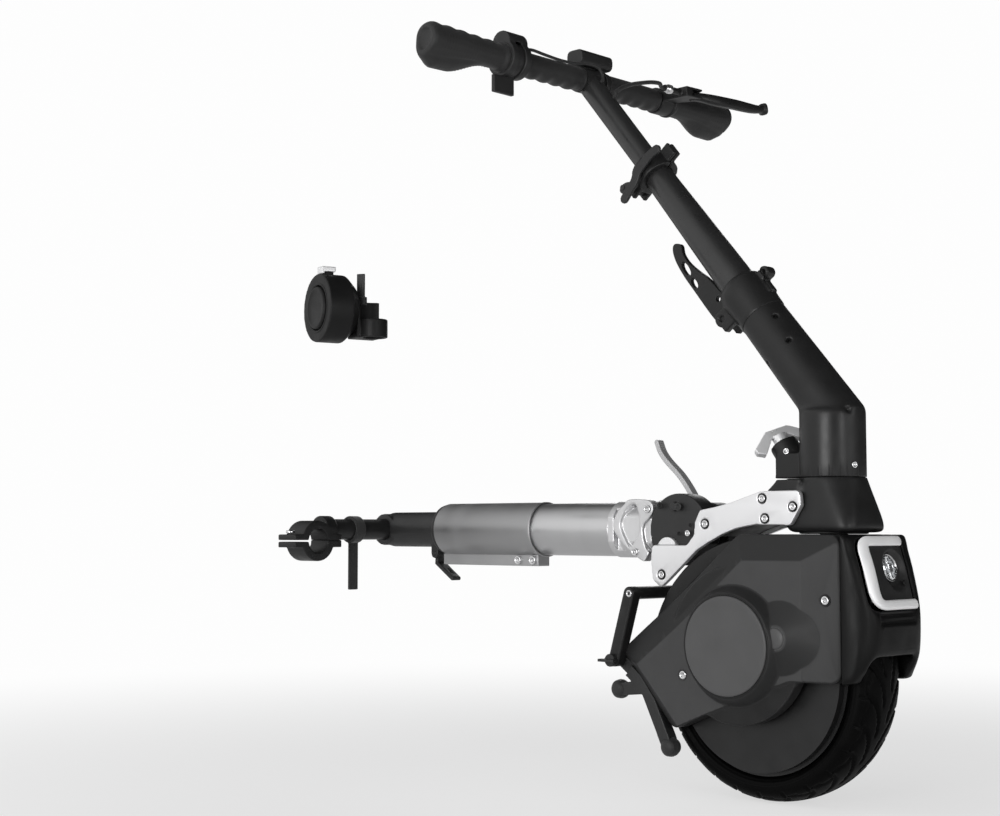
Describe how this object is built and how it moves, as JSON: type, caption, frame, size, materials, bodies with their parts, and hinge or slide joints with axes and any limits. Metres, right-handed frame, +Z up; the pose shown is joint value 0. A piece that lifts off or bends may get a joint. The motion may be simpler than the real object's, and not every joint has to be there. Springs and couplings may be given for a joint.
{
  "type": "wheelchair power assist",
  "caption": "Front-wheel electric drive with handlebar steering that docks to a wheelchair's frame by a telescoping tube and frame clamps, with a separate push-button remote.",
  "frame": {"origin": "on the ground under the drive wheel's axle", "axes": "+X forward, +Y left, +Z up"},
  "size_m": [0.762, 0.526, 0.8449],
  "materials": {
    "black_paint": "satin black coat",
    "black_alloy": "satin black coated alloy",
    "black_plastic": "fine-grained black",
    "badge_plastic": "fine-grained dark grey",
    "button_rubber": "soft black",
    "strap": "woven black",
    "tyre": "moulded tread",
    "wheel_paint": "satin dark grey coated alloy",
    "aluminium": "satin anodised",
    "plate": "bright brushed face",
    "steel": "bright",
    "windings": "wound copper and iron",
    "cells": "wrapped pack",
    "lens": "clear"
  },
  "bodies": {
    "dock": {"frame_clamps": "black_paint", "clamp_caps": "black_paint", "dock_screws": "steel", "cross_bar": "black_paint", "dock_sleeve": "black_plastic", "outer_tube": "aluminium", "tube_rail": "aluminium", "remote_body": "black_plastic", "remote_bracket": "black_plastic", "remote_clip": "steel"},
    "hook": {"hook_lever": "black_plastic"},
    "tab": {"pull_tab": "strap"},
    "remote_push": {"remote_button": "button_rubber"},
    "slider": {"inner_tube": "aluminium", "end_fork": "aluminium", "fork_screws": "steel", "hinge_pin": "steel"},
    "head": {"hinge_discs": "black_plastic", "right_plate": "plate", "left_plate": "plate", "plate_bolts": "steel", "neck_base": "black_alloy", "head_bearings": "steel"},
    "release": {"release_lever": "steel"},
    "steered": {"steerer": "steel", "neck": "black_alloy", "collar": "black_alloy", "fork": "black_paint", "right_casing": "black_plastic", "left_casing": "black_plastic", "nose_cover": "black_plastic", "badge_caps": "badge_plastic", "casing_screws": "steel", "lamp_bezel": "aluminium", "lamp_housing": "black_plastic", "lamp_lens": "lens", "axle": "steel", "stator": "windings", "battery_packs": "cells", "foot_brackets": "black_plastic", "feet": "button_rubber", "wing_screws": "black_plastic"},
    "knob": {"wing_knob": "aluminium"},
    "rear": {"rear_frame": "black_paint"},
    "wheel": {"tyre": "tyre", "rim": "wheel_paint", "hub_covers": "wheel_paint", "wheel_bearings": "steel"},
    "cam": {"cam_lever": "black_alloy"},
    "mast": {"mid_tube": "black_alloy", "upper_clamp": "black_alloy"},
    "quick": {"clamp_lever": "black_plastic"},
    "bar": {"handlebar": "black_alloy", "grips": "button_rubber", "throttle_housing": "black_plastic", "console": "black_plastic", "brake_bracket": "black_alloy", "cables": "button_rubber"},
    "thumb": {"throttle_paddle": "black_plastic"},
    "brake": {"brake_lever": "black_alloy"}
  },
  "joints": [
    {"name": "dock_extend", "type": "slide", "parent": "dock", "child": "slider", "axis": [1, 0, 0], "range_m": [-0.015, 0.06]},
    {"name": "hook_pull", "type": "hinge", "parent": "dock", "child": "hook", "pos_m": [-0.513, 0, 0.252], "axis": [0, 1, 0], "range_deg": [0, 40], "stiffness_Nm_per_rad": 0.15, "springref_deg": -17.19},
    {"name": "tab_swing", "type": "hinge", "parent": "dock", "child": "tab", "pos_m": [-0.599, -0.072, 0.282], "axis": [0, 1, 0], "range_deg": [-30, 30]},
    {"name": "remote_press", "type": "slide", "parent": "dock", "child": "remote_push", "axis": [0.2756, 0.9613, 0], "range_m": [0, 0.002], "stiffness_N_per_m": 500, "springref_m": -0.001},
    {"name": "dock_pitch", "type": "hinge", "parent": "slider", "child": "head", "pos_m": [-0.101, 0, 0.282], "axis": [0, -1, 0], "range_deg": [0, 20]},
    {"name": "release_pull", "type": "hinge", "parent": "head", "child": "release", "pos_m": [-0.104, 0, 0.311], "axis": [0, -1, 0], "range_deg": [0, 12], "stiffness_Nm_per_rad": 0.8, "springref_deg": -5.73},
    {"name": "steer", "type": "hinge", "parent": "head", "child": "steered", "pos_m": [0.072, 0, 0.282], "axis": [0, 0, 1], "range_deg": [-40, 40]},
    {"name": "knob_turn", "type": "hinge", "parent": "steered", "child": "knob", "pos_m": [0.026, 0, 0.35], "axis": [-0.5736, 0, 0.8192], "range_deg": [-40, 60]},
    {"name": "rear_fold", "type": "hinge", "parent": "steered", "child": "rear", "pos_m": [-0.169, 0, 0.14], "axis": [0, -1, 0], "range_deg": [0, 60]},
    {"name": "wheel_spin", "type": "hinge", "parent": "steered", "child": "wheel", "pos_m": [0, 0, 0.134], "axis": [0, 1, 0], "continuous": true},
    {"name": "cam_open", "type": "hinge", "parent": "steered", "child": "cam", "pos_m": [-0.05753, 0, 0.50947], "axis": [0, -1, 0], "range_deg": [0, 100]},
    {"name": "mast_slide", "type": "slide", "parent": "steered", "child": "mast", "axis": [-0.6361, 0, 0.7716], "range_m": [-0.015, 0.06]},
    {"name": "quick_open", "type": "hinge", "parent": "mast", "child": "quick", "pos_m": [-0.18459, 0, 0.6691], "axis": [0, 1, 0], "range_deg": [0, 90]},
    {"name": "bar_slide", "type": "slide", "parent": "mast", "child": "bar", "axis": [-0.6361, 0, 0.7716], "range_m": [-0.02, 0.05]},
    {"name": "throttle_push", "type": "hinge", "parent": "bar", "child": "thumb", "pos_m": [-0.26258, -0.132, 0.81088], "axis": [0, -1, 0], "range_deg": [0, 40], "stiffness_Nm_per_rad": 0.1, "springref_deg": -11.46},
    {"name": "brake_pull", "type": "hinge", "parent": "bar", "child": "brake", "pos_m": [-0.22058, 0.145, 0.81388], "axis": [0, 0, 1], "range_deg": [0, 18], "stiffness_Nm_per_rad": 1, "springref_deg": -5.73}
  ]
}
